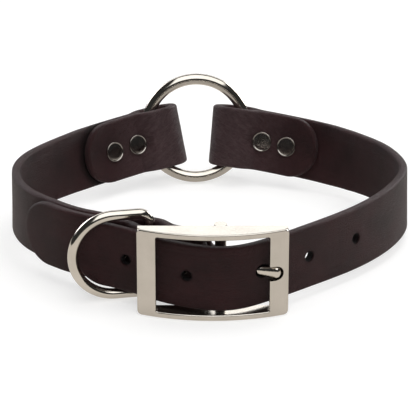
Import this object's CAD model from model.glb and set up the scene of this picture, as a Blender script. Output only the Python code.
# A leather collar, closed round the Z axis and standing on the floor with its width along Z.
# The buckle is on the camera side (-Y) and the ring at the far side (+Y).
# Two straps, billet (+X) and buckle strap (-X), start with an end turned back round the ring.
# Lengths are millimetres up to the meshes, which are in metres; materials, floor and lights
# are in metres throughout.
import bpy
import bmesh
import math
import numpy as np
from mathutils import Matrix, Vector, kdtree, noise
from mathutils.geometry import delaunay_2d_cdt


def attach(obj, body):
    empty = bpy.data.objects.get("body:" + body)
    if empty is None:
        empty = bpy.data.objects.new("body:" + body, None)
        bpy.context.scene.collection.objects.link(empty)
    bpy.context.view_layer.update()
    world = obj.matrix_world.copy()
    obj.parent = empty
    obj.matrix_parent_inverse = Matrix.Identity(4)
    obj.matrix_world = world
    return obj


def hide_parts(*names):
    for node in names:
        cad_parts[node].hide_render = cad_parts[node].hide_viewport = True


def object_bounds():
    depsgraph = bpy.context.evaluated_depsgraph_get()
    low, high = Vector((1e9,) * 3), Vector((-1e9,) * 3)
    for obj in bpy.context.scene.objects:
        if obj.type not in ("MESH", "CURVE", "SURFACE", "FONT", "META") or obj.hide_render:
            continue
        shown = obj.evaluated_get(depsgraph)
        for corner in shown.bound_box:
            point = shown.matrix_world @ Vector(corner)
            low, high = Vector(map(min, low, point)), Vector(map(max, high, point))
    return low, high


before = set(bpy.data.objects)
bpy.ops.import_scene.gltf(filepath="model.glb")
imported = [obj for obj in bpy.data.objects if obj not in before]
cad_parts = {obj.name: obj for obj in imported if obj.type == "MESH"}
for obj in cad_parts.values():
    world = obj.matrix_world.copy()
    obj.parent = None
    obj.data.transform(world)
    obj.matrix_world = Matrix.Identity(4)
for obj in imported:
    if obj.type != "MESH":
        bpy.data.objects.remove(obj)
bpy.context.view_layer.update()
MM = 0.001

# ------------------------------------------------------------------ strap stations
# Columns: centre x, y, z; width direction x, y, z. In order from the turned-back tip at the ring.
BILLET_STATIONS = [
 (45.062,50.354,17.145,0.141,0.1681,0.9756), (43.778,51.23,17.18,0.1463,0.1717,0.9742),
 (42.484,52.081,17.228,0.1535,0.177,0.9722), (41.177,52.906,17.286,0.1588,0.1849,0.9698),
 (39.858,53.701,17.349,0.1611,0.1942,0.9677), (38.525,54.463,17.415,0.1597,0.2034,0.966),
 (37.178,55.191,17.479,0.1556,0.2106,0.9651), (35.814,55.881,17.543,0.1537,0.2131,0.9649),
 (34.433,56.538,17.618,0.1555,0.2144,0.9643), (33.035,57.165,17.705,0.1573,0.2163,0.9636),
 (31.623,57.759,17.803,0.1589,0.2187,0.9628), (30.196,58.322,17.911,0.1601,0.2215,0.9619),
 (28.757,58.855,18.028,0.1608,0.2244,0.9611), (27.305,59.356,18.153,0.161,0.2273,0.9604),
 (25.842,59.825,18.286,0.1606,0.23,0.9598), (24.367,60.264,18.427,0.1589,0.2324,0.9595),
 (22.871,60.68,18.572,0.1558,0.234,0.9597), (21.351,61.077,18.718,0.1517,0.2347,0.9602),
 (19.79,61.379,18.887,0.1465,0.234,0.9611), (18.056,60.985,19.243,0.1411,0.2324,0.9623),
 (16.204,60.193,19.7,0.1347,0.2316,0.9634), (14.329,59.51,20.119,0.1273,0.2326,0.9642),
 (12.543,59.444,20.364,0.1198,0.2351,0.9646), (10.856,59.912,20.452,0.1117,0.2372,0.965),
 (9.153,60.416,20.517,0.1029,0.2391,0.9655), (7.439,60.962,20.556,0.0941,0.2415,0.9658),
 (5.717,61.554,20.567,0.0875,0.2434,0.966), (4.415,62.217,20.514,0.0849,0.2445,0.9659),
 (3.326,63.18,20.366,0.0849,0.2445,0.9659), (2.524,64.381,20.132,0.0849,0.2445,0.9659),
 (2.065,65.735,19.83,0.0849,0.2445,0.9659), (1.979,67.152,19.479,0.0849,0.2445,0.9659),
 (2.272,68.534,19.103,0.0849,0.2445,0.9659), (2.925,69.787,18.728,0.0849,0.2445,0.9659),
 (3.892,70.826,18.38,0.0849,0.2445,0.9659), (5.108,71.581,18.083,0.0849,0.2445,0.9659),
 (6.491,71.999,17.855,0.0849,0.2445,0.9659), (7.945,72.052,17.714,0.0849,0.2445,0.9659),
 (9.372,71.737,17.668,0.0879,0.2437,0.9659), (10.799,71.246,17.658,0.0962,0.2408,0.9658),
 (12.247,70.783,17.62,0.1069,0.2379,0.9654), (13.716,70.346,17.557,0.1167,0.2357,0.9648),
 (15.201,69.93,17.471,0.1257,0.2338,0.9641), (16.586,69.027,17.502,0.1335,0.2322,0.9635),
 (17.87,67.546,17.676,0.1402,0.2322,0.9625), (19.162,65.976,17.863,0.1457,0.233,0.9615),
 (20.553,64.811,17.932,0.1501,0.234,0.9606), (22.095,64.331,17.805,0.1532,0.2344,0.96),
 (23.653,63.923,17.654,0.1554,0.2341,0.9597), (25.205,63.493,17.506,0.1563,0.2332,0.9598),
 (26.75,63.034,17.365,0.1561,0.2314,0.9603), (28.285,62.544,17.234,0.1555,0.2292,0.9609),
 (29.811,62.021,17.112,0.1547,0.2266,0.9616), (31.325,61.464,17,0.1538,0.2238,0.9624),
 (32.827,60.874,16.897,0.1529,0.2211,0.9632), (34.316,60.25,16.804,0.1519,0.2186,0.9639),
 (35.791,59.591,16.72,0.1511,0.2164,0.9645), (37.25,58.898,16.647,0.1504,0.2147,0.965),
 (38.693,58.17,16.584,0.15,0.2135,0.9654), (40.117,57.406,16.532,0.1484,0.2097,0.9664),
 (41.524,56.609,16.488,0.1453,0.2034,0.9683), (42.913,55.781,16.453,0.1413,0.1956,0.9704),
 (44.285,54.925,16.426,0.137,0.1876,0.9726), (45.64,54.042,16.405,0.1331,0.1805,0.9745),
 (46.978,53.134,16.39,0.1306,0.1752,0.9758), (48.448,52.096,16.379,0.1301,0.1726,0.9764),
 (50.22,50.79,16.372,0.1246,0.1635,0.9786), (51.96,49.441,16.375,0.1114,0.1459,0.983),
 (53.663,48.046,16.389,0.094,0.126,0.9876), (55.326,46.604,16.417,0.0768,0.1093,0.991),
 (56.943,45.112,16.459,0.065,0.1012,0.9927), (58.511,43.568,16.518,0.0574,0.0984,0.9935),
 (60.028,41.974,16.591,0.0367,0.0829,0.9959), (61.495,40.335,16.677,0.0216,0.0722,0.9972),
 (62.913,38.654,16.769,0.0168,0.069,0.9975), (64.284,36.935,16.865,0.0082,0.0608,0.9981),
 (65.61,35.18,16.959,0.0061,0.0559,0.9984), (66.892,33.393,17.048,0.0054,0.0512,0.9987),
 (68.122,31.57,17.13,0.0042,0.0459,0.9989), (69.294,29.708,17.207,0.0054,0.0415,0.9991),
 (70.402,27.807,17.275,0.0035,0.0338,0.9994), (71.441,25.867,17.329,0.0032,0.0252,0.9997),
 (72.405,23.889,17.367,0.0046,0.0171,0.9998), (73.293,21.875,17.389,0.001,0.0085,1),
 (74.102,19.827,17.4,-0.001,0.0028,1), (74.829,17.75,17.402,-0.003,-0.0016,1),
 (75.477,15.646,17.397,-0.0074,-0.0063,1), (76.046,13.52,17.385,-0.009,-0.0096,0.9999),
 (76.528,11.372,17.366,-0.014,-0.0127,0.9998), (76.9,9.203,17.342,-0.0199,-0.0145,0.9997),
 (77.141,7.016,17.315,-0.0229,-0.0152,0.9996), (77.23,4.817,17.283,-0.0298,-0.0168,0.9994),
 (77.149,2.618,17.241,-0.0362,-0.0195,0.9992), (76.884,0.434,17.185,-0.0416,-0.0225,0.9989),
 (76.451,-1.722,17.114,-0.0502,-0.0238,0.9985), (75.878,-3.846,17.032,-0.0551,-0.0245,0.9982),
 (75.19,-5.934,16.941,-0.0605,-0.0232,0.9979), (74.404,-7.988,16.846,-0.0654,-0.0199,0.9977),
 (73.538,-10.01,16.752,-0.067,-0.0161,0.9976), (72.603,-12.001,16.661,-0.0694,-0.0109,0.9975),
 (71.609,-13.962,16.574,-0.0712,-0.0053,0.9974), (70.561,-15.897,16.494,-0.0703,-0.0006,0.9975),
 (69.463,-17.803,16.421,-0.0686,0.0041,0.9976), (68.315,-19.68,16.355,-0.0665,0.0089,0.9977),
 (67.117,-21.526,16.298,-0.0625,0.0128,0.998), (65.874,-23.342,16.249,-0.057,0.0161,0.9982),
 (64.59,-25.13,16.211,-0.0523,0.0202,0.9984), (63.271,-26.892,16.185,-0.0473,0.0237,0.9986),
 (61.918,-28.628,16.168,-0.0417,0.0252,0.9988), (60.534,-30.34,16.158,-0.0383,0.0273,0.9989),
 (59.121,-32.028,16.153,-0.0347,0.0287,0.999), (57.681,-33.693,16.155,-0.0298,0.0291,0.9991),
 (56.216,-35.336,16.163,-0.0246,0.0291,0.9993), (54.727,-36.958,16.177,-0.0198,0.0295,0.9994),
 (53.217,-38.559,16.199,-0.0162,0.0311,0.9994), (51.687,-40.141,16.227,-0.0131,0.0324,0.9994),
 (50.138,-41.705,16.26,-0.0092,0.0316,0.9995), (48.571,-43.251,16.296,-0.0056,0.0295,0.9995),
 (46.988,-44.78,16.333,-0.003,0.0268,0.9996), (45.391,-46.294,16.369,-0.0022,0.0245,0.9997),
 (43.779,-47.794,16.4,-0.0028,0.0225,0.9997), (42.155,-49.28,16.427,-0.0023,0.0188,0.9998),
 (40.519,-50.752,16.448,-0.001,0.014,0.9999), (38.872,-52.213,16.465,0.0003,0.0089,1),
 (37.215,-53.662,16.475,0.0007,0.0046,1), (35.549,-55.1,16.48,-0.0004,0.0019,1),
 (33.874,-56.528,16.479,-0.0013,-0.0012,1), (32.189,-57.945,16.473,-0.0008,-0.0057,1),
 (30.494,-59.349,16.461,0.0002,-0.0106,0.9999), (28.787,-60.739,16.444,0.0008,-0.015,0.9999),
 (27.067,-62.114,16.422,0.0002,-0.0176,0.9998), (25.335,-63.471,16.396,-0.0005,-0.02,0.9998),
 (23.587,-64.81,16.366,-0.0001,-0.0237,0.9997), (21.824,-66.127,16.333,-0.0003,-0.0261,0.9997),
 (20.042,-67.418,16.297,-0.002,-0.026,0.9997), (18.232,-68.671,16.26,-0.0037,-0.0244,0.9997),
 (16.384,-69.866,16.223,-0.0045,-0.0231,0.9997), (14.487,-70.982,16.19,-0.0066,-0.0189,0.9998),
 (12.526,-71.982,16.158,-0.0085,-0.014,0.9999), (10.495,-72.828,16.13,-0.0081,-0.0107,0.9999),
 (8.396,-73.489,16.108,-0.0059,-0.0045,1), (6.241,-73.932,16.1,0,-0,1),
 (4.05,-74.131,16.109,0.0068,0.0002,1), (1.85,-74.098,16.13,0.0108,-0.0007,0.9999),
 (-0.337,-73.856,16.156,0.0123,-0.0019,0.9999), (-2.496,-73.431,16.184,0.013,-0.003,0.9999),
 (-4.623,-72.866,16.215,0.0144,-0.0042,0.9999), (-6.722,-72.202,16.25,0.0166,-0.0056,0.9998),
 (-8.796,-71.466,16.292,0.0193,-0.0072,0.9998), (-10.847,-70.67,16.341,0.0226,-0.0091,0.9997),
 (-12.879,-69.825,16.399,0.0265,-0.0114,0.9996), (-14.889,-68.929,16.468,0.0313,-0.0145,0.9994),
 (-16.871,-67.976,16.551,0.0367,-0.0184,0.9992), (-18.822,-66.961,16.649,0.0421,-0.0228,0.9989),
 (-20.74,-65.886,16.761,0.0468,-0.0272,0.9985), (-22.623,-64.754,16.887,0.0511,-0.0316,0.9982),
 (-24.487,-63.591,17.026,0.0567,-0.0352,0.9978), (-26.369,-62.46,17.181,0.0649,-0.0373,0.9972),
 (-28.3,-61.417,17.355,0.0743,-0.0377,0.9965), (-30.275,-60.466,17.548,0.0828,-0.0379,0.9958),
 (-32.283,-59.587,17.756,0.088,-0.0369,0.9954), (-34.316,-58.772,17.968,0.087,-0.0334,0.9956),
 (-36.375,-58.018,18.166,0.0797,-0.0279,0.9964), (-38.455,-57.32,18.339,0.0703,-0.0227,0.9973),
 (-40.552,-56.667,18.492,0.0631,-0.0191,0.9978), (-42.66,-56.046,18.63,0.0584,-0.0168,0.9981),
 (-44.775,-55.453,18.759,0.055,-0.015,0.9984), (-46.902,-54.896,18.881,0.0517,-0.013,0.9986),
 (-49.04,-54.386,18.994,0.0486,-0.0109,0.9988), (-51.191,-53.932,19.1,0.0473,-0.0094,0.9988)]
# The buckle strap also turns back round the buckle bar; the table ends after that return.
BUCKLE_STATIONS = [
 (-51.891,39.315,18.19,-0.1359,0.1212,0.9833), (-50.843,40.459,18.193,-0.138,0.1339,0.9813),
 (-49.78,41.585,18.177,-0.1337,0.1437,0.9805), (-48.703,42.693,18.158,-0.1364,0.1441,0.9801),
 (-47.614,43.786,18.154,-0.1453,0.1433,0.979), (-46.512,44.864,18.165,-0.1547,0.1456,0.9772),
 (-45.397,45.923,18.187,-0.1638,0.1503,0.975), (-44.269,46.964,18.218,-0.1717,0.1564,0.9727),
 (-43.125,47.984,18.257,-0.1777,0.1632,0.9705), (-41.967,48.982,18.3,-0.181,0.1698,0.9687),
 (-40.792,49.956,18.347,-0.1818,0.1745,0.9677), (-39.599,50.905,18.398,-0.1838,0.1743,0.9674),
 (-38.387,51.836,18.465,-0.1885,0.1727,0.9668), (-37.156,52.75,18.545,-0.1922,0.1727,0.966),
 (-35.909,53.649,18.634,-0.1944,0.1742,0.9653), (-34.644,54.532,18.729,-0.1947,0.177,0.9648),
 (-33.364,55.401,18.826,-0.1932,0.1807,0.9644), (-32.069,56.257,18.922,-0.1896,0.1851,0.9643),
 (-30.734,57.059,19.025,-0.1851,0.1895,0.9643), (-29.049,57.287,19.299,-0.1811,0.193,0.9643),
 (-27.127,57.097,19.695,-0.1788,0.195,0.9644), (-25.224,56.907,20.085,-0.178,0.1959,0.9643),
 (-23.579,57.142,20.341,-0.1784,0.1956,0.9643), (-22.234,57.904,20.436,-0.1793,0.195,0.9643),
 (-20.891,58.684,20.529,-0.1805,0.1947,0.9641), (-19.539,59.462,20.626,-0.1818,0.1941,0.964),
 (-18.179,60.239,20.727,-0.1833,0.1935,0.9638), (-16.811,61.016,20.833,-0.1844,0.193,0.9637),
 (-15.641,61.891,20.882,-0.1847,0.1928,0.9637), (-14.727,63.031,20.829,-0.1847,0.1928,0.9637),
 (-14.131,64.357,20.678,-0.1847,0.1928,0.9637), (-13.893,65.779,20.439,-0.1847,0.1928,0.9637),
 (-14.03,67.201,20.128,-0.1847,0.1928,0.9637), (-14.533,68.525,19.767,-0.1847,0.1928,0.9637),
 (-15.367,69.662,19.379,-0.1847,0.1928,0.9637), (-16.476,70.533,18.993,-0.1847,0.1928,0.9637),
 (-17.783,71.08,18.633,-0.1847,0.1928,0.9637), (-19.2,71.265,18.324,-0.1847,0.1928,0.9637),
 (-20.63,71.075,18.088,-0.1847,0.1928,0.9637), (-21.976,70.524,17.941,-0.184,0.1931,0.9638),
 (-23.366,69.734,17.835,-0.1825,0.194,0.9639), (-24.758,68.94,17.733,-0.1806,0.1948,0.9641),
 (-26.151,68.139,17.635,-0.1789,0.1955,0.9642), (-27.545,67.331,17.542,-0.1775,0.1961,0.9644),
 (-28.925,66.492,17.46,-0.1765,0.1965,0.9645), (-29.993,65.11,17.546,-0.1763,0.1962,0.9646),
 (-30.79,63.285,17.771,-0.1774,0.1951,0.9646), (-31.554,61.439,18.002,-0.1797,0.193,0.9646),
 (-32.537,59.988,18.105,-0.1834,0.1901,0.9645), (-33.849,59.086,18.029,-0.1872,0.1866,0.9644),
 (-35.177,58.21,17.937,-0.1896,0.1831,0.9646), (-36.495,57.318,17.845,-0.1904,0.18,0.9651),
 (-37.8,56.409,17.755,-0.1898,0.1774,0.9657), (-39.093,55.481,17.671,-0.188,0.1758,0.9663),
 (-40.372,54.533,17.596,-0.1851,0.1753,0.967), (-41.636,53.565,17.532,-0.1814,0.1762,0.9675),
 (-42.882,52.573,17.482,-0.1772,0.1782,0.9679), (-44.111,51.56,17.448,-0.1713,0.1779,0.969),
 (-45.323,50.525,17.427,-0.164,0.1751,0.9708), (-46.517,49.47,17.418,-0.156,0.1705,0.9729),
 (-47.694,48.395,17.42,-0.1479,0.165,0.9751), (-48.854,47.303,17.431,-0.1404,0.1594,0.9772),
 (-49.997,46.193,17.448,-0.1343,0.1542,0.9789), (-51.125,45.067,17.471,-0.1303,0.1503,0.98),
 (-52.236,43.926,17.499,-0.1292,0.1483,0.9805), (-53.332,42.769,17.528,-0.1275,0.1451,0.9812),
 (-54.413,41.599,17.56,-0.121,0.1375,0.9831), (-55.617,40.261,17.598,-0.1095,0.1257,0.986),
 (-57.078,38.594,17.647,-0.0927,0.1098,0.9896), (-58.515,36.908,17.698,-0.0776,0.096,0.9924),
 (-59.933,35.204,17.751,-0.069,0.088,0.9937), (-61.332,33.485,17.806,-0.0647,0.0845,0.9943),
 (-62.711,31.751,17.864,-0.0526,0.0771,0.9956), (-64.067,29.998,17.931,-0.045,0.0753,0.9961),
 (-65.395,28.225,18.009,-0.0354,0.0716,0.9968), (-66.691,26.428,18.095,-0.0237,0.0641,0.9977),
 (-67.952,24.607,18.181,-0.0204,0.0605,0.998), (-69.173,22.758,18.266,-0.011,0.0523,0.9986),
 (-70.345,20.879,18.35,-0.0012,0.0447,0.999), (-71.462,18.965,18.433,0.0013,0.0416,0.9991),
 (-72.513,17.016,18.514,0.0097,0.0348,0.9993), (-73.491,15.028,18.59,0.0138,0.0298,0.9995),
 (-74.384,13,18.659,0.0167,0.0251,0.9995), (-75.178,10.931,18.721,0.024,0.0193,0.9995),
 (-75.859,8.823,18.776,0.0265,0.0159,0.9995), (-76.413,6.677,18.822,0.028,0.0127,0.9995),
 (-76.831,4.5,18.858,0.0307,0.009,0.9995), (-77.106,2.301,18.882,0.0304,0.0061,0.9995),
 (-77.24,0.089,18.897,0.0298,0.0047,0.9995), (-77.24,-2.128,18.907,0.0295,0.0051,0.9996),
 (-77.113,-4.34,18.916,0.0286,0.0069,0.9996), (-76.867,-6.543,18.927,0.0263,0.0091,0.9996),
 (-76.51,-8.731,18.94,0.0245,0.0113,0.9996), (-76.049,-10.899,18.956,0.022,0.0134,0.9997),
 (-75.487,-13.043,18.975,0.0184,0.015,0.9997), (-74.828,-15.16,18.998,0.0163,0.0168,0.9997),
 (-74.072,-17.243,19.023,0.0136,0.018,0.9997), (-73.217,-19.288,19.05,0.0109,0.0188,0.9998),
 (-72.263,-21.289,19.079,0.0088,0.0194,0.9998), (-71.207,-23.238,19.109,0.0053,0.0188,0.9998),
 (-70.049,-25.128,19.139,0.0028,0.0182,0.9998), (-68.791,-26.952,19.17,0.0001,0.0169,0.9999),
 (-67.576,-28.54,19.197,-0.0031,0.0147,0.9999), (-66.612,-29.704,19.217,-0.0045,0.0134,0.9999),
 (-65.612,-30.837,19.236,-0.0049,0.0122,0.9999), (-64.58,-31.942,19.254,-0.0054,0.0098,0.9999),
 (-63.523,-33.022,19.269,-0.0051,0.0065,1), (-62.445,-34.081,19.279,-0.0034,0.0034,1),
 (-61.351,-35.123,19.284,-0.0006,0.0006,1), (-60.243,-36.152,19.282,0.0023,-0.0021,1),
 (-59.126,-37.17,19.274,0.0052,-0.0047,1), (-58,-38.179,19.261,0.0081,-0.0072,0.9999),
 (-56.867,-39.179,19.241,0.0115,-0.01,0.9999), (-55.718,-40.16,19.215,0.0156,-0.013,0.9998),
 (-54.542,-41.108,19.18,0.0208,-0.0161,0.9997), (-53.329,-42.008,19.135,0.0269,-0.019,0.9995),
 (-52.074,-42.849,19.08,0.0328,-0.0208,0.9992), (-50.781,-43.629,19.018,0.0375,-0.0214,0.9991),
 (-49.455,-44.35,18.95,0.0406,-0.021,0.999), (-48.1,-45.015,18.88,0.0425,-0.0198,0.9989),
 (-46.72,-45.627,18.808,0.044,-0.0185,0.9989), (-45.319,-46.189,18.735,0.0458,-0.0175,0.9988),
 (-43.901,-46.707,18.66,0.0479,-0.0167,0.9987), (-42.469,-47.184,18.582,0.0503,-0.0161,0.9986),
 (-41.026,-47.628,18.501,0.0524,-0.0155,0.9985), (-39.576,-48.045,18.417,0.0535,-0.015,0.9985),
 (-38.121,-48.446,18.333,0.0538,-0.0146,0.9984), (-36.664,-48.839,18.249,0.0532,-0.0143,0.9985),
 (-35.207,-49.232,18.166,0.052,-0.0141,0.9985), (-33.751,-49.629,18.086,0.0505,-0.0139,0.9986),
 (-32.296,-50.032,18.008,0.0487,-0.0136,0.9987), (-30.844,-50.443,17.933,0.0466,-0.0134,0.9988),
 (-29.326,-50.634,17.861,0.0443,-0.0131,0.9989), (-27.685,-50.441,17.793,0.0418,-0.0129,0.999),
 (-25.988,-50.118,17.728,0.0394,-0.0128,0.9991), (-24.309,-49.917,17.666,0.037,-0.0125,0.9992),
 (-22.737,-50.087,17.608,0.0347,-0.0121,0.9993), (-21.275,-50.6,17.553,0.0325,-0.0118,0.9994),
 (-19.822,-51.137,17.501,0.0305,-0.0114,0.9995), (-18.49,-51.974,17.452,0.0286,-0.011,0.9995),
 (-17.321,-53.182,17.407,0.0267,-0.0106,0.9996), (-16.22,-54.514,17.365,0.0246,-0.0101,0.9996),
 (-15.085,-55.726,17.326,0.0224,-0.0094,0.9997), (-13.805,-56.579,17.291,0.0201,-0.0087,0.9998),
 (-12.418,-57.178,17.26,0.0179,-0.0078,0.9998), (-11.032,-57.782,17.232,0.0155,-0.0068,0.9999),
 (-9.648,-58.388,17.208,0.0132,-0.0058,0.9999), (-8.263,-58.994,17.189,0.0108,-0.0047,0.9999),
 (-6.877,-59.597,17.173,0.0083,-0.0036,1), (-5.49,-60.196,17.161,0.0058,-0.0025,1),
 (-4.092,-60.772,17.154,0.0033,-0.0014,1), (-2.574,-61.058,17.151,0.0007,-0.0003,1),
 (-0.96,-61.097,17.152,-0.002,0.0008,1), (0.674,-61.058,17.157,-0.0047,0.0019,1),
 (2.257,-61.113,17.167,-0.0076,0.0029,1), (3.725,-61.437,17.181,-0.0105,0.0039,0.9999),
 (5.116,-61.949,17.2,-0.0125,0.0045,0.9999), (6.055,-62.435,17.215,-0.0132,0.0048,0.9999),
 (6.837,-63.147,17.228,-0.0132,0.0048,0.9999), (7.407,-64.037,17.24,-0.0132,0.0048,0.9999),
 (7.728,-65.045,17.249,-0.0132,0.0048,0.9999), (7.777,-66.101,17.255,-0.0132,0.0048,0.9999),
 (7.551,-67.134,17.257,-0.0132,0.0048,0.9999), (7.065,-68.073,17.255,-0.0132,0.0048,0.9999),
 (6.353,-68.854,17.249,-0.0132,0.0048,0.9999), (5.463,-69.425,17.24,-0.0132,0.0048,0.9999),
 (4.455,-69.745,17.228,-0.0132,0.0048,0.9999), (3.399,-69.794,17.215,-0.0132,0.0048,0.9999),
 (2.367,-69.568,17.2,-0.012,0.0044,0.9999), (0.882,-69.022,17.181,-0.0099,0.0037,0.9999),
 (-0.51,-68.256,17.167,-0.0072,0.0027,1), (-1.772,-67.193,17.157,-0.0046,0.0018,1),
 (-2.968,-66.011,17.152,-0.0019,0.0008,1), (-4.171,-64.887,17.151,0.0007,-0.0003,1),
 (-5.459,-63.993,17.154,0.0032,-0.0014,1), (-6.856,-63.375,17.161,0.0058,-0.0025,1),
 (-8.255,-62.771,17.173,0.0083,-0.0036,1), (-9.648,-62.165,17.189,0.0107,-0.0047,0.9999),
 (-11.035,-61.558,17.208,0.0132,-0.0058,0.9999), (-12.418,-60.953,17.232,0.0156,-0.0068,0.9999),
 (-13.796,-60.352,17.26,0.018,-0.0078,0.9998), (-15.171,-59.758,17.291,0.0204,-0.0087,0.9998),
 (-16.653,-59.432,17.326,0.0228,-0.0095,0.9997), (-18.281,-59.486,17.365,0.0252,-0.0102,0.9996),
 (-19.948,-59.685,17.407,0.0278,-0.0108,0.9996), (-21.551,-59.789,17.452,0.0304,-0.0114,0.9995),
 (-23,-59.557,17.501,0.033,-0.0122,0.9994), (-24.335,-59.064,17.553,0.0354,-0.0128,0.9993),
 (-25.675,-58.586,17.608,0.0374,-0.0132,0.9992), (-26.921,-57.802,17.666,0.0391,-0.0136,0.9991),
 (-28.076,-56.681,17.728,0.0409,-0.0137,0.9991), (-29.226,-55.469,17.793,0.043,-0.0137,0.999),
 (-30.446,-54.415,17.861,0.0453,-0.0137,0.9989), (-31.799,-53.769,17.933,0.0475,-0.0137,0.9988),
 (-33.229,-53.364,18.008,0.0494,-0.0138,0.9987), (-34.667,-52.965,18.086,0.051,-0.014,0.9986),
 (-36.112,-52.572,18.166,0.0523,-0.0142,0.9985), (-37.563,-52.18,18.249,0.0531,-0.0143,0.9985),
 (-39.028,-51.785,18.333,0.0531,-0.0144,0.9985), (-40.511,-51.377,18.417,0.0522,-0.0146,0.9985),
 (-42.01,-50.945,18.501,0.0503,-0.0149,0.9986), (-43.522,-50.48,18.582,0.0478,-0.0152,0.9987),
 (-45.04,-49.974,18.66,0.045,-0.0157,0.9989), (-46.555,-49.421,18.735,0.0427,-0.0163,0.999),
 (-48.064,-48.815,18.808,0.0407,-0.0171,0.999), (-49.561,-48.151,18.88,0.039,-0.0182,0.9991),
 (-51.042,-47.424,18.95,0.0371,-0.0191,0.9991), (-52.5,-46.632,19.018,0.034,-0.0194,0.9992),
 (-53.929,-45.77,19.08,0.0296,-0.0188,0.9994), (-55.325,-44.835,19.135,0.0243,-0.0171,0.9996),
 (-56.665,-43.841,19.18,0.0191,-0.0148,0.9997), (-57.933,-42.818,19.215,0.0147,-0.0122,0.9998),
 (-59.141,-41.787,19.241,0.011,-0.0096,0.9999), (-60.302,-40.762,19.261,0.008,-0.0071,0.9999),
 (-61.444,-39.738,19.274,0.0051,-0.0046,1), (-62.585,-38.7,19.282,0.0022,-0.002,1),
 (-63.721,-37.644,19.284,-0.0006,0.0005,1), (-64.849,-36.569,19.279,-0.0025,0.0025,1),
 (-65.97,-35.468,19.273,-0.0027,0.0041,1), (-67.079,-34.335,19.264,-0.0023,0.0066,1),
 (-68.172,-33.165,19.252,-0.0026,0.0097,0.9999), (-69.241,-31.954,19.235,-0.0024,0.011,0.9999),
 (-70.277,-30.703,19.22,-0.0006,0.0117,0.9999)]

# ------------------------------------------------------------------ strap sizes (mm)
THICKNESS = 3.4
WIDTH = 25.4
EDGE_RADIUS = 1.15
RIM_STEPS = 5             # steps in each quarter round of an edge
BILLET_FOLD = 51.48       # distance along the strap to the middle of the turn round the ring
BUCKLE_FOLD = 51.65
BUCKLE_BAR = 273.43       # distance along the buckle strap to the bar
WAIST_HALF = 6.5          # half width of the buckle strap at the bar
SLOT_HALF_LENGTH = 11.4   # slot in the buckle strap, centred on the bar
SLOT_RADIUS = 3.2

PUNCHED_HOLES = (210.83, 236.23, 287.02, 312.42)    # distances along the billet
PUNCHED_ACROSS = 0.4
PUNCHED_RADIUS = 1.92
# The wider hole between them is oval and leans through the leather.
LEANING_HOLE = dict(along=260.16, across=1.15, half_length=2.85, half_width=2.55, count=56)
LEANING_SLANT = -0.883    # shift along the strap per mm of height

# ------------------------------------------------------------------ rivet sizes (mm)
RIVET_HALF = 3.43         # half of the doubled leather
CAP_GAP = 0.03
# Columns: name, strap whose leather it presses, centre x, y, z, axis x, y, z.
RIVETS = [
    ("ring_rivet_right_1", "billet", 22.7063, 62.4490, 18.1666, 0.2216, 0.9385, -0.2648),
    ("ring_rivet_right_2", "billet", 33.5414, 58.7652, 17.2628, 0.3682, 0.8925, -0.2607),
    ("ring_rivet_left_1", "buckle", -32.7281, 57.8213, 18.4915, -0.5131, 0.8185, -0.2582),
    ("ring_rivet_left_2", "buckle", -42.5489, 50.6799, 17.8898, -0.6135, 0.7497, -0.2482),
    ("buckle_rivet_1", "buckle", -9.9291, -60.1533, 17.2022, -0.4009, -0.9161, 0.0),
    ("buckle_rivet_2", "buckle", -34.0268, -51.3470, 18.0756, -0.2652, -0.9642, 0.0),
    ("buckle_rivet_3", "buckle", -44.3449, -48.3844, 18.6538, -0.3268, -0.9451, 0.0)]
# Cap outline, crown to foot: radius, height above the leather.
CAP_PROFILE = [
    (0.0, 0.80), (0.9, 0.80), (1.8, 0.79), (2.6, 0.77), (3.2, 0.74), (3.48, 0.70),
    (3.60, 0.69), (3.70, 0.74), (3.80, 0.86), (3.90, 0.95), (4.00, 0.96), (4.09, 0.90),
    (4.16, 0.78), (4.19, 0.60), (4.19, 0.34), (4.13, 0.14), (4.02, 0.03), (3.90, 0.0)]
# Post outline, from under its cap to its blunt far end.
POST_PROFILE = [
    (1.5, RIVET_HALF + CAP_GAP), (1.5, -RIVET_HALF + 0.12),
    (1.3, -RIVET_HALF + 0.02), (0.0, -RIVET_HALF + 0.02)]


# ------------------------------------------------------------------ lie of a strap
def unit(vectors):
    return vectors / np.linalg.norm(vectors, axis=1, keepdims=True)


def strap_path(stations, facing):
    """Centre line with cubic slopes. facing (+1 or -1) picks the outward side of the long run."""
    table = np.array(stations, float)
    centre, across = table[:, :3], table[:, 3:6]
    arc = np.concatenate([[0], np.cumsum(np.linalg.norm(np.diff(centre, axis=0), axis=1))])
    gap = np.diff(arc)[:, None]
    chord = np.diff(centre, axis=0) / gap
    slope = np.zeros_like(centre)
    slope[1:-1] = (chord[:-1] * gap[1:] + chord[1:] * gap[:-1]) / (gap[1:] + gap[:-1])
    slope[0], slope[-1] = chord[0], chord[-1]
    return dict(arc=arc, centre=centre, slope=slope, across=across, facing=facing,
                length=float(arc[-1]))


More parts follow.
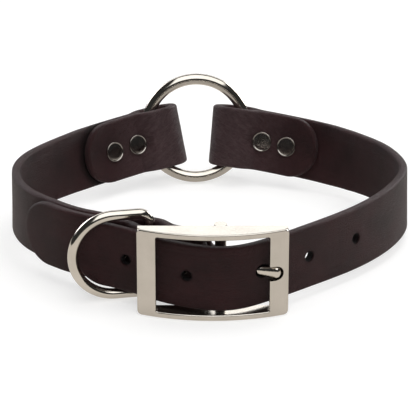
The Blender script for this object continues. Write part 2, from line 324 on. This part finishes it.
def place(path, along, across, height):
    """Points in space for flat strap coordinates; height is off the middle surface."""
    arc, centre = path["arc"], path["centre"]
    along = np.clip(along, 0, path["length"])
    k = np.clip(np.searchsorted(arc, along, side="right") - 1, 0, len(arc) - 2)
    gap = (arc[k + 1] - arc[k])[:, None]
    f = ((along - arc[k]) / (arc[k + 1] - arc[k]))[:, None]
    start, end = centre[k], centre[k + 1]
    slope0, slope1 = path["slope"][k] * gap, path["slope"][k + 1] * gap
    f2, f3 = f * f, f * f * f
    middle = ((2 * f3 - 3 * f2 + 1) * start + (f3 - 2 * f2 + f) * slope0
              + (-2 * f3 + 3 * f2) * end + (f3 - f2) * slope1)
    tangent = unit((6 * f2 - 6 * f) * (start - end) + (3 * f2 - 4 * f + 1) * slope0
                   + (3 * f2 - 2 * f) * slope1)
    blend = f * f * (3 - 2 * f)
    side = path["across"][k] * (1 - blend) + path["across"][k + 1] * blend
    side = unit(side - tangent * (side * tangent).sum(1, keepdims=True))
    normal = path["facing"] * np.cross(tangent, side)
    return middle + side * across[:, None] + normal * height[:, None]


# ------------------------------------------------------------------ flat outlines
def inside(outline, points):
    x, y = points[:, 0], points[:, 1]
    px, py = outline[:, 0], outline[:, 1]
    qx, qy = np.roll(px, -1), np.roll(py, -1)
    result = np.zeros(len(points), bool)
    for i in range(len(outline)):
        spans = (py[i] > y) != (qy[i] > y)
        if spans.any():
            crossing = (qx[i] - px[i]) * (y - py[i]) / (qy[i] - py[i] + 1e-12) + px[i]
            result ^= spans & (x < crossing)
    return result


def distance_to(outline, points):
    nearest = np.full(len(points), 1e9)
    for start, end in zip(outline, np.roll(outline, -1, axis=0)):
        edge = end - start
        reach = points - start
        f = np.clip((reach @ edge) / (edge @ edge + 1e-12), 0, 1)
        nearest = np.minimum(nearest, np.linalg.norm(reach - f[:, None] * edge, axis=1))
    return nearest


def offset(outline, distance):
    """Moves a closed counter-clockwise outline inwards (outwards if negative)."""
    tangent = unit(np.roll(outline, -1, axis=0) - np.roll(outline, 1, axis=0))
    return outline + np.stack([-tangent[:, 1], tangent[:, 0]], 1) * distance


def resample(outline, step):
    closed = np.vstack([outline, outline[:1]])
    arc = np.concatenate([[0], np.cumsum(np.linalg.norm(np.diff(closed, axis=0), axis=1))])
    count = max(8, int(round(arc[-1] / step)))
    u = np.linspace(0, arc[-1], count, endpoint=False)
    return np.stack([np.interp(u, arc, closed[:, 0]), np.interp(u, arc, closed[:, 1])], 1)


def strap_outline(length, half_width):
    """Strap with round ends; half_width is a function of the distance along it."""
    r = WIDTH / 2
    steps = 40
    top = []
    for i in range(steps + 1):
        angle = math.pi - (math.pi / 2) * i / steps
        top.append((r + r * math.cos(angle), r * math.sin(angle)))
    along = r
    while along < length - r:
        along += 0.5
        top.append((min(along, length - r), half_width(min(along, length - r))))
    for i in range(1, steps + 1):
        angle = math.pi / 2 - (math.pi / 2) * i / steps
        top.append((length - r + r * math.cos(angle), r * math.sin(angle)))
    top = np.array(top)
    bottom = top[1:-1] * [1, -1]
    # counter-clockwise: along the bottom, back on top
    return resample(np.vstack([bottom, top[::-1]]), 0.62)


def oval(along, across, half_length, half_width, count=40):
    angle = np.linspace(0, 2 * math.pi, count, endpoint=False)
    return np.stack([along + half_length * np.cos(angle), across + half_width * np.sin(angle)], 1)


def stadium(start, end, r, steps=18):
    points = []
    for centre, first in ((end - r, -math.pi / 2), (start + r, math.pi / 2)):
        for i in range(steps + 1):
            angle = first + math.pi * i / steps
            points.append((centre + r * math.cos(angle), r * math.sin(angle)))
    return resample(np.array(points), 0.6)


def smooth(x):
    x = max(0.0, min(1.0, x))
    return x * x * (3 - 2 * x)


def billet_half_width(along):
    return WIDTH / 2


def buckle_half_width(along):
    """Narrows to a waist at the buckle bar."""
    beyond_waist = abs(along - BUCKLE_BAR) - 10.2
    return WAIST_HALF + (WIDTH / 2 - WAIST_HALF) * smooth(beyond_waist / 2.9)


# ------------------------------------------------------------------ leather meshes
class Sheet:
    """Flat strap: points (along, across, height), an edge weight for each, and faces.

    The edge weight is 1 on an outer wall, -1 on a hole wall and 0 on the broad faces."""

    def __init__(self):
        self.points, self.edges, self.faces = [], [], []
        self.count = 0

    def add(self, flat, height, edge):
        first = self.count
        self.count += len(flat)
        self.points.append(np.column_stack([flat, np.full(len(flat), height)]))
        self.edges.append(np.full(len(flat), float(edge)))
        return np.arange(first, self.count)

    def rim(self, outline, radius, slant=0.0, hole=False):
        """Rounded wall round an outline; returns its bottom and top rings."""
        inward = -1 if hole else 1
        rings = []
        for side, steps in ((-1, range(RIM_STEPS, -1, -1)), (1, range(RIM_STEPS + 1))):
            for i in steps:
                angle = math.pi / 2 * i / RIM_STEPS
                height = side * (THICKNESS / 2 - radius + radius * math.sin(angle))
                ring = offset(outline, inward * radius * (1 - math.cos(angle)))
                ring = ring + np.array([slant * height, 0])
                rings.append(self.add(ring, height, inward * (1.0 - 0.75 * i / RIM_STEPS)))
        for low, high in zip(rings[:-1], rings[1:]):
            for i in range(len(low)):
                j = (i + 1) % len(low)
                face = (low[i], low[j], high[j], high[i])
                self.faces.append(face[::-1] if hole else face)
        return rings[0], rings[-1]

    def cover(self, side, rings, length):
        """Triangulates one broad face between the outer ring (first) and the hole rings."""
        flat = np.vstack(self.points)[:, :2]
        outlines = [flat[ring] for ring in rings]
        columns = np.arange(0.6, length, 1.0)
        rows = np.arange(-WIDTH / 2 + 1.6, WIDTH / 2 - 1.5, 1.27)
        grid = np.array([(a + (0.5 if k % 2 else 0.0), b)
                         for k, b in enumerate(rows) for a in columns])
        grid = grid[inside(outlines[0], grid) & (distance_to(outlines[0], grid) > 0.55)]
        for outline in outlines[1:]:
            low, high = outline.min(0) - 1.2, outline.max(0) + 1.2
            close = ((grid > low) & (grid < high)).all(1)
            bad = np.zeros(len(grid), bool)
            bad[close] = inside(outline, grid[close]) | (distance_to(outline, grid[close]) < 0.45)
            grid = grid[~bad]
        grid_index = self.add(grid, side * THICKNESS / 2, 0.0)

        edges = []
        first = 0
        for ring in rings:
            edges += [(first + i, first + (i + 1) % len(ring)) for i in range(len(ring))]
            first += len(ring)
        source = np.concatenate(list(rings) + [grid_index])
        coords = [Vector((float(a), float(b))) for a, b in np.vstack(outlines + [grid])]
        result = delaunay_2d_cdt(coords, edges, [], 0, 1e-6, True)
        new_coords, new_faces, origins = result[0], result[2], result[3]
        index = np.array([source[o[0]] if o else -1 for o in origins])
        triangles = np.array([f for f in new_faces if len(f) == 3])
        centres = np.array([(c.x, c.y) for c in new_coords])[triangles].mean(1)
        wanted = inside(outlines[0], centres)
        for outline in outlines[1:]:
            wanted &= ~inside(outline, centres)
        for face in index[triangles[wanted]]:
            if (face >= 0).all():
                self.faces.append(tuple(face) if side > 0 else tuple(face[::-1]))


def noise_at(x, y, z):
    return noise.noise(Vector((x, y, z)))


def two_octaves(x, y, z):
    step = 2.03
    return noise_at(x, y, z) + 0.5 * noise_at(x * step, y * step, z * step)


def hand_cut(along, across, height, border, seed):
    """Slight unevenness of hand-cut leather; border is 1 at an edge and 0 on the faces."""
    flat = list(zip(along, across))
    wobble = np.array([two_octaves(a * 0.018, b * 0.045, seed) for a, b in flat])
    wave = np.array([noise_at(a * 0.05, seed * 3.1, 7.0 if b > 0 else 2.0) for a, b in flat])
    pits = np.array([two_octaves(a * 0.22, b * 0.30, seed + 9.0) for a, b in flat])
    new_across = across * (1.0 + 0.006 * wave)
    new_height = height + 0.13 * wobble + np.sign(height) * 0.018 * pits * (1 - border)
    # the tip of the turned-back end springs a little off the strap beside it
    new_height = new_height + 0.55 * np.clip(1 - along / 8.0, 0, 1) ** 2
    return new_across, new_height


def crease(along, across, height, new_height, border, seed, centre, depth):
    """Compression lines across the outward face, fading out either side of centre."""
    spread = 5.0
    for i in np.where((height > 0) & (np.abs(along - centre) < spread * 2.2))[0]:
        a, b = along[i], across[i]
        wander = a + 0.9 * noise_at(a * 0.12, b * 0.22, seed)
        phase = wander * 1.55 + 0.35 * b + 1.7 * noise_at(a * 0.3, b * 0.12, seed + 4)
        ridge = abs(math.sin(phase))
        fade = math.exp(-((a - centre) / spread) ** 2)
        broken = 0.5 + 0.5 * noise_at(a * 0.25, b * 0.25, seed + 12)
        new_height[i] -= depth * fade * (1 - ridge) ** 2 * broken * 2 * (1 - 0.6 * border[i])


def press_under_rivets(strap, points):
    """Flattens the leather under every cap and raises a faint ring round it."""
    press_radius = 4.35
    for _, owner, *numbers in RIVETS:
        if owner != strap:
            continue
        centre, axis = np.array(numbers[:3]), np.array(numbers[3:])
        from_centre = points - centre
        depth = from_centre @ axis
        radius = np.linalg.norm(from_centre - depth[:, None] * axis, axis=1)
        limit = RIVET_HALF + 0.02 + ((radius - press_radius) / 1.6).clip(0, 9) ** 1.5 * 1.5
        for side in (1, -1):
            out = side * depth
            over = (out > limit) & (out < RIVET_HALF + 3.4) & (radius < 7.5)
            points[over] -= axis * (side * (out[over] - limit[over]))[:, None]
            lip = (np.abs(out - RIVET_HALF) < 0.6) & (radius > 4.1) & (radius < 5.6)
            swell = 0.05 * np.exp(-((radius[lip] - 4.75) / 0.35) ** 2)
            points[lip] += axis * (side * swell)[:, None]


def darken_beside_tip(points, along, edge, fold):
    """Shade gathers on the strap beside the turned-back tip at the ring."""
    reach = 3.2
    rim_points = np.where((along < 13.5) & (edge > 0.2))[0]
    tree = kdtree.KDTree(len(rim_points))
    for k, i in enumerate(rim_points):
        tree.insert(points[i], k)
    tree.balance()
    for i in np.where((along > fold + 20) & (along < fold + 75))[0]:
        distance = tree.find(points[i])[2]
        if distance < reach:
            edge[i] = min(edge[i], -(1 - distance / reach) ** 0.7)


def leather_strap(strap, path, half_width, holes, seed, fold, crease_depths, dark_tip=False):
    """Strap of even thickness with rounded edges and holes (outline, slant, edge radius)."""
    sheet = Sheet()
    rims = [sheet.rim(strap_outline(path["length"], half_width), EDGE_RADIUS)]
    for outline, slant, radius in holes:
        rims.append(sheet.rim(outline, radius, slant, hole=True))
    for side, pick in ((-1, 0), (1, 1)):
        sheet.cover(side, [rim[pick] for rim in rims], path["length"])

    along, across, height = np.vstack(sheet.points).T.copy()
    edge = np.concatenate(sheet.edges)
    border = np.abs(edge)
    new_across, new_height = hand_cut(along, across, height, border, seed)
    for centre, depth in zip((fold - 9.0, fold + 9.0), crease_depths):
        crease(along, across, height, new_height, border, seed, centre, depth)
    points = place(path, along, new_across, new_height)
    press_under_rivets(strap, points)
    # the far tip is less burnished
    edge = np.where((along > path["length"] - 18) & (edge > 0), edge * 0.3, edge)
    if dark_tip:
        darken_beside_tip(points, along, edge, fold)
    wrinkled = (np.exp(-((along - fold + 9.0) / 13.0) ** 2)
                + 0.45 * np.exp(-((along - fold + 26.0) / 12.0) ** 2)).clip(0, 1)
    flat = np.column_stack([along * MM, across * MM, height * MM])

    name = strap + "_leather"
    mesh = bpy.data.meshes.new(name)
    mesh.from_pydata([tuple(p) for p in points * MM], [],
                     [tuple(int(i) for i in face) for face in sheet.faces])
    mesh.validate()
    mesh.update()
    obj = bpy.data.objects.new(name, mesh)
    bpy.context.collection.objects.link(obj)
    for label, kind, field, values in (("edge", "FLOAT", "value", edge),
                                       ("fold", "FLOAT", "value", wrinkled),
                                       ("flat", "FLOAT_VECTOR", "vector", flat.ravel())):
        attribute = mesh.attributes.new(label, kind, "POINT")
        attribute.data.foreach_set(field, values.astype(np.float32))
    shade_smooth(mesh)
    bm = bmesh.new()
    bm.from_mesh(mesh)
    bmesh.ops.recalc_face_normals(bm, faces=bm.faces)
    bm.to_mesh(mesh)
    bm.free()
    return obj


def shade_smooth(mesh):
    for polygon in mesh.polygons:
        polygon.use_smooth = True


# ------------------------------------------------------------------ shader helpers
def clear_nodes(owner):
    owner.use_nodes = True
    for old in list(owner.node_tree.nodes):
        owner.node_tree.nodes.remove(old)
    return owner.node_tree


def new_node(tree, kind, inputs, **settings):
    """Adds a node; an input given as a socket is linked, any other is set as a value."""
    made = tree.nodes.new("ShaderNode" + kind)
    for key, value in settings.items():
        setattr(made, key, value)
    for key, value in inputs.items():
        if isinstance(value, bpy.types.NodeSocket):
            tree.links.new(value, made.inputs[key])
        else:
            made.inputs[key].default_value = value
    return made


def node(tree, kind, inputs, out=0, **settings):
    """As new_node, but returns one output socket."""
    return new_node(tree, kind, inputs, **settings).outputs[out]


def attribute(tree, name, out):
    return node(tree, "Attribute", {}, out, attribute_name=name)


def calc(tree, operation, *values):
    return node(tree, "Math", dict(enumerate(values)), operation=operation)


def map_range(tree, value, source=(0.0, 1.0), target=(0.0, 1.0), **settings):
    return node(tree, "MapRange", {
        "Value": value, "From Min": source[0], "From Max": source[1],
        "To Min": target[0], "To Max": target[1]}, **settings)


def grey(tree, value):
    return node(tree, "CombineColor", {0: value, 1: value, 2: value})


def mix_colour(tree, factor, first, second, blend="MIX"):
    return node(tree, "MixRGB", {"Fac": factor, "Color1": first, "Color2": second},
                blend_type=blend)


def colour_ramp(tree, factor, *stops):
    """Two stops, each (position, colour)."""
    made = new_node(tree, "ValToRGB", {"Fac": factor})
    for element, (position, colour) in zip(made.color_ramp.elements, stops):
        element.position = position
        element.color = (*colour, 1)
    return made.outputs[0]


# ------------------------------------------------------------------ materials
def leather_material():
    material = bpy.data.materials.new("collar_leather")
    tree = clear_nodes(material)
    edge = attribute(tree, "edge", "Fac")
    flat_mm = node(tree, "VectorMath", {0: attribute(tree, "flat", "Vector"), "Scale": 1000.0},
                   operation="SCALE")
    # pebble grain
    warp = node(tree, "TexNoise", {"Vector": flat_mm, "Scale": 0.9, "Detail": 3.0}, "Color")
    warped = mix_colour(tree, 0.8, flat_mm, warp, "ADD")
    cells = node(tree, "TexVoronoi", {"Vector": warped, "Scale": 1.55, "Randomness": 1.0},
                 "Distance", feature="DISTANCE_TO_EDGE")
    pebble = map_range(tree, cells, source=(0.0, 0.16))
    pores = node(tree, "TexNoise", {"Vector": flat_mm, "Scale": 6.0, "Detail": 4.0})
    # broad mottling and long streaks along the strap
    mottle = node(tree, "TexNoise", {
        "Vector": flat_mm, "Scale": 0.055, "Detail": 5.0, "Roughness": 0.6})
    stretched = node(tree, "Mapping", {"Vector": flat_mm, "Scale": (0.10, 1.3, 1.0)})
    streaks = node(tree, "TexNoise", {"Vector": stretched, "Scale": 0.55, "Detail": 4.0})
    colour = colour_ramp(tree, mottle, (0.33, (0.0235, 0.0066, 0.0074)),
                         (0.68, (0.0470, 0.0132, 0.0152)))
    streak_tone = map_range(tree, streaks, target=(0.75, 1.25))
    colour = mix_colour(tree, 0.35, colour, grey(tree, streak_tone), "MULTIPLY")
    # crevices of the grain are darker
    colour = mix_colour(tree, 0.45, colour, grey(tree, pebble), "MULTIPLY")
    # burnished edges: lighter, greyer
    burnish = map_range(tree, edge, source=(0.30, 0.95), target=(0.0, 0.16))
    colour = mix_colour(tree, burnish, colour, (0.056, 0.030, 0.033, 1))
    # hole walls and the line beside the turned-back tip are nearly black
    light = map_range(tree, edge, source=(-0.95, -0.05), target=(0.10, 1.0))
    colour = mix_colour(tree, 1.0, colour, grey(tree, light), "MULTIPLY")
    # where the leather is turned back round the ring it is wrinkled and paler
    fold = attribute(tree, "fold", "Fac")
    turned_flat = node(tree, "Mapping", {
        "Vector": attribute(tree, "flat", "Vector"), "Rotation": (0.0, 0.0, -0.45)})
    wrinkle_space = node(tree, "Mapping", {
        "Vector": turned_flat, "Scale": (420.0, 1300.0, 400.0)})
    wrinkles = node(tree, "TexNoise", {
        "Vector": wrinkle_space, "Scale": 1.0, "Detail": 3.0, "Distortion": 0.8})
    paleness = map_range(tree, wrinkles, source=(0.30, 0.72), target=(0.34, 0.82))
    colour = mix_colour(tree, calc(tree, "MULTIPLY", paleness, fold), colour,
                        (0.108, 0.070, 0.074, 1))
    roughness = map_range(tree, pores, source=(0.3, 0.7), target=(0.44, 0.60))
    # bump: pebbles and pores, then streaks, then wrinkles
    grain = calc(tree, "MULTIPLY_ADD", pebble, 0.55, pores)
    normal = node(tree, "Bump", {"Strength": 0.9, "Distance": 0.00034, "Height": grain})
    normal = node(tree, "Bump", {
        "Strength": 0.60, "Distance": 0.00040, "Height": streaks, "Normal": normal})
    normal = node(tree, "Bump", {
        "Strength": calc(tree, "MULTIPLY", fold, 0.9), "Distance": 0.00022,
        "Height": wrinkles, "Normal": normal})
    specular = 0.15
    shader = new_node(tree, "BsdfPrincipled", {
        "Base Color": colour, "Roughness": roughness, "Specular IOR Level": specular,
        "Sheen Weight": 0.05, "Sheen Roughness": 0.5,
        "Coat Weight": 0.04, "Coat Roughness": 0.42, "Normal": normal})
    # the dark places lose their shine too
    tree.links.new(calc(tree, "MULTIPLY", light, specular), shader.inputs["Specular IOR Level"])
    new_node(tree, "OutputMaterial", {"Surface": shader.outputs[0]})
    return material


def nickel_material(name, roughness, tint=(0.66, 0.62, 0.565), brushed=0.0, grain_scale=900.0):
    """Nickel; roughness is a (low, high) range, brushed stretches and deepens the grain."""
    material = bpy.data.materials.new(name)
    tree = clear_nodes(material)
    coords = node(tree, "TexCoord", {}, "Object")
    patches = node(tree, "TexNoise", {"Vector": coords, "Scale": 120.0, "Detail": 4.0})
    stretched = node(tree, "Mapping", {
        "Vector": coords, "Scale": (1.0, 1.0, 0.12 if brushed else 1.0)})
    grain = node(tree, "TexNoise", {
        "Vector": stretched, "Scale": grain_scale, "Detail": 6.0, "Roughness": 0.65})
    dull = (tint[0] * 0.90, tint[1] * 0.90, tint[2] * 0.89)
    normal = node(tree, "Bump", {
        "Strength": 0.10 + brushed, "Distance": 0.00004, "Height": grain})
    shader = node(tree, "BsdfPrincipled", {
        "Metallic": 1.0,
        "Base Color": colour_ramp(tree, patches, (0.3, dull), (0.7, tint)),
        "Roughness": map_range(tree, grain, source=(0.3, 0.7), target=roughness),
        "Normal": normal})
    new_node(tree, "OutputMaterial", {"Surface": shader})
    return material


def floor_material():
    """Pale floor; what the metal mirrors of it is warmer, and dark far behind the collar."""
    material = bpy.data.materials.new("studio_floor")
    tree = clear_nodes(material)
    position = node(tree, "NewGeometry", {}, "Position")
    clouds = node(tree, "TexNoise", {"Vector": position, "Scale": 2.0})
    pale = colour_ramp(tree, clouds, (0.0, (0.90, 0.90, 0.90)), (1.0, (0.93, 0.93, 0.93)))
    lit = node(tree, "BsdfDiffuse", {"Color": pale})
    # the camera sees a part-glowing floor
    glow = node(tree, "Emission", {"Color": (1, 1, 1, 1), "Strength": 0.58})
    dimmer = node(tree, "BsdfDiffuse", {"Color": (0.52, 0.52, 0.52, 1)})
    seen = node(tree, "AddShader", {0: dimmer, 1: glow})
    distance_back = node(tree, "SeparateXYZ", {0: position}, "Y")
    far = map_range(tree, distance_back, source=(0.14, 0.26), target=(1.0, 0.03))
    # the floor ringed by the collar lies in its shade
    radius = node(tree, "VectorMath", {0: position}, "Value", operation="LENGTH")
    shade = map_range(tree, radius, source=(0.060, 0.085), target=(0.62, 1.0))
    mirrored = node(tree, "Emission", {
        "Color": (0.84, 0.79, 0.73, 1), "Strength": calc(tree, "MULTIPLY", far, shade)})
    rays = new_node(tree, "LightPath", {}).outputs
    surface = node(tree, "MixShader", {0: rays["Is Camera Ray"], 1: lit, 2: seen})
    surface = node(tree, "MixShader", {0: rays["Is Glossy Ray"], 1: surface, 2: mirrored})
    new_node(tree, "OutputMaterial", {"Surface": surface})
    return material


# ------------------------------------------------------------------ straps
def make_straps():
    leather = leather_material()
    punched = [(oval(along, PUNCHED_ACROSS, PUNCHED_RADIUS, PUNCHED_RADIUS), 0.0, 0.55)
               for along in PUNCHED_HOLES]
    leaning = (oval(**LEANING_HOLE), LEANING_SLANT, 0.35)
    slot = (stadium(BUCKLE_BAR - SLOT_HALF_LENGTH, BUCKLE_BAR + SLOT_HALF_LENGTH, SLOT_RADIUS),
            0.0, 0.3)
    billet = leather_strap(
        "billet", strap_path(BILLET_STATIONS, facing=-1), billet_half_width,
        punched + [leaning], seed=1.7, fold=BILLET_FOLD, crease_depths=(0.16, 0.12))
    buckle = leather_strap(
        "buckle", strap_path(BUCKLE_STATIONS, facing=1), buckle_half_width,
        [slot], seed=5.3, fold=BUCKLE_FOLD, crease_depths=(0.14, 0.12), dark_tip=True)
    for obj, piece in ((billet, "billet_strap"), (buckle, "buckle_strap")):
        obj.data.materials.append(leather)
        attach(obj, "collar")
        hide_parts(piece)


# ------------------------------------------------------------------ rivets
def turned(name, centre, axis, profile, segments=72):
    """Solid of revolution; profile (radius, height) starts and ends on the axis."""
    z = axis.normalized()
    x = z.orthogonal().normalized()
    y = z.cross(x)
    bm = bmesh.new()
    rings = []
    for radius, height in profile:
        middle = centre + z * height
        if radius < 1e-6:
            rings.append([bm.verts.new(middle * MM)])
            continue
        ring = []
        for i in range(segments):
            angle = 2 * math.pi * i / segments
            spoke = (x * math.cos(angle) + y * math.sin(angle)) * radius
            ring.append(bm.verts.new((middle + spoke) * MM))
        rings.append(ring)
    for a, b in zip(rings[:-1], rings[1:]):
        for i in range(segments):
            j = (i + 1) % segments
            if len(a) == 1:
                bm.faces.new((a[0], b[i], b[j]))
            elif len(b) == 1:
                bm.faces.new((a[j], a[i], b[0]))
            else:
                bm.faces.new((a[j], a[i], b[i], b[j]))
    bmesh.ops.recalc_face_normals(bm, faces=bm.faces)
    mesh = bpy.data.meshes.new(name)
    bm.to_mesh(mesh)
    bm.free()
    shade_smooth(mesh)
    obj = bpy.data.objects.new(name, mesh)
    bpy.context.collection.objects.link(obj)
    return obj


def make_rivets():
    """Each rivet is a post with a cap on one side and a second cap on the other."""
    crown = [(radius, height + RIVET_HALF + CAP_GAP) for radius, height in CAP_PROFILE]
    post = crown + POST_PROFILE
    cap = crown + [(0.0, RIVET_HALF + CAP_GAP)]
    made = []
    for name, _, *numbers in RIVETS:
        centre, axis = Vector(numbers[:3]), Vector(numbers[3:])
        post_side = axis if name.startswith("buckle") else -axis
        for suffix, direction, profile in (("_post", post_side, post), ("_cap", -post_side, cap)):
            obj = turned(name + suffix + "_turned", centre, direction, profile)
            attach(obj, "collar")
            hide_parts(name + suffix)
            made.append(obj)
    return made


# ------------------------------------------------------------------ metal parts
def finish_metal(rivets):
    wire = nickel_material("nickel_wire", roughness=(0.07, 0.14))
    cast = nickel_material("nickel_cast", roughness=(0.17, 0.26), tint=(0.62, 0.585, 0.535),
                           brushed=0.06, grain_scale=1400.0)
    cap = nickel_material("nickel_cap", roughness=(0.10, 0.26), tint=(0.43, 0.40, 0.375),
                          grain_scale=700.0)
    for name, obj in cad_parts.items():
        if name in ("billet_strap", "buckle_strap") or "rivet" in name:
            continue
        material = cast if name == "buckle_frame" else wire
        if not obj.material_slots:
            obj.data.materials.append(material)
        for material_slot in obj.material_slots:
            material_slot.material = material
    for obj in rivets:
        obj.data.materials.append(cap)


# ------------------------------------------------------------------ floor, world, lights, camera
def make_floor():
    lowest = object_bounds()[0][2]
    bpy.ops.mesh.primitive_grid_add(x_subdivisions=8, y_subdivisions=8, size=6.0,
                                    location=(0, 0, lowest - 0.0002))
    floor = bpy.context.active_object
    floor.name = "studio_floor"
    floor.data.materials.append(floor_material())


def make_world():
    world = bpy.data.worlds.new("studio")
    bpy.context.scene.world = world
    tree = clear_nodes(world)
    direction = node(tree, "TexCoord", {}, "Generated")
    x, y, z = new_node(tree, "SeparateXYZ", {0: direction}).outputs

    def window(value, rise, fall):
        """1 between two soft borders, each given as (where it is 0, where it is 1)."""
        return calc(tree, "MULTIPLY", *(
            map_range(tree, value, source=border, interpolation_type="SMOOTHSTEP")
            for border in (rise, fall)))

    # overhead softbox, seen on a plane one unit up
    up = calc(tree, "MAXIMUM", z, 0.02)
    plane_x, plane_y = calc(tree, "DIVIDE", x, up), calc(tree, "DIVIDE", y, up)
    box = calc(tree, "MULTIPLY", window(plane_x, rise=(-0.50, -0.36), fall=(0.95, 0.80)),
               window(plane_y, rise=(-1.75, -1.45), fall=(0.48, 0.38)))
    # pale sweep low behind
    behind = map_range(tree, y, source=(0.20, 0.50), interpolation_type="SMOOTHSTEP")
    sweep = calc(tree, "MULTIPLY", window(z, rise=(0.20, 0.27), fall=(0.56, 0.50)), behind)
    box_glow = calc(tree, "MULTIPLY", box, 1.75)
    sweep_glow = calc(tree, "MULTIPLY", sweep, 1.9)
    ambient = 0.035
    glow = calc(tree, "ADD", calc(tree, "ADD", box_glow, sweep_glow), ambient)
    # slightly warm
    colour = node(tree, "CombineColor", {
        0: glow, 1: calc(tree, "MULTIPLY", glow, 0.992), 2: calc(tree, "MULTIPLY", glow, 0.98)})
    background = node(tree, "Background", {"Color": colour, "Strength": 1.0})
    new_node(tree, "OutputWorld", {"Surface": background})


def area_light(name, location, size, power, hidden_from, colour=(1, 1, 1)):
    """Square light aimed at the collar; hidden_from names the rays that don't see it."""
    data = bpy.data.lights.new(name, "AREA")
    data.energy = power
    data.color = colour
    data.size = size
    light = bpy.data.objects.new(name, data)
    bpy.context.collection.objects.link(light)
    light.location = location
    aim = Vector((0.0, 0.0, 0.02)) - Vector(location)
    light.rotation_euler = aim.to_track_quat("-Z", "Y").to_euler()
    setattr(light, "visible_" + hidden_from, False)


def make_lights():
    area_light("top_soft", (0.25, 0.45, 1.15), size=0.9, power=3.0, hidden_from="glossy")
    area_light("left_back_soft", (-0.8, 0.90, 0.35), size=0.5, power=4.2,
               hidden_from="diffuse", colour=(1.0, 0.955, 1.02))
    area_light("right_back_soft", (0.8, 0.90, 0.35), size=0.5, power=9.0, hidden_from="diffuse")
    area_light("front_fill", (0.15, -1.25, 0.75), size=0.9, power=1.5, hidden_from="glossy")


def make_camera():
    """Long lens in front of the collar, looking down at it."""
    data = bpy.data.cameras.new("camera")
    camera = bpy.data.objects.new("camera", data)
    bpy.context.collection.objects.link(camera)
    data.sensor_width = 36.0
    data.lens = 178.9
    data.clip_start = 0.01
    elevation = math.radians(22.748)
    camera.location = Vector((-0.1925, -770.96, 335.6)) * MM
    camera.rotation_euler = (math.pi / 2 - elevation, 0, 0)
    bpy.context.scene.camera = camera


make_straps()
finish_metal(make_rivets())
make_floor()
make_world()
make_lights()
make_camera()
bpy.context.scene.view_settings.view_transform = "Standard"
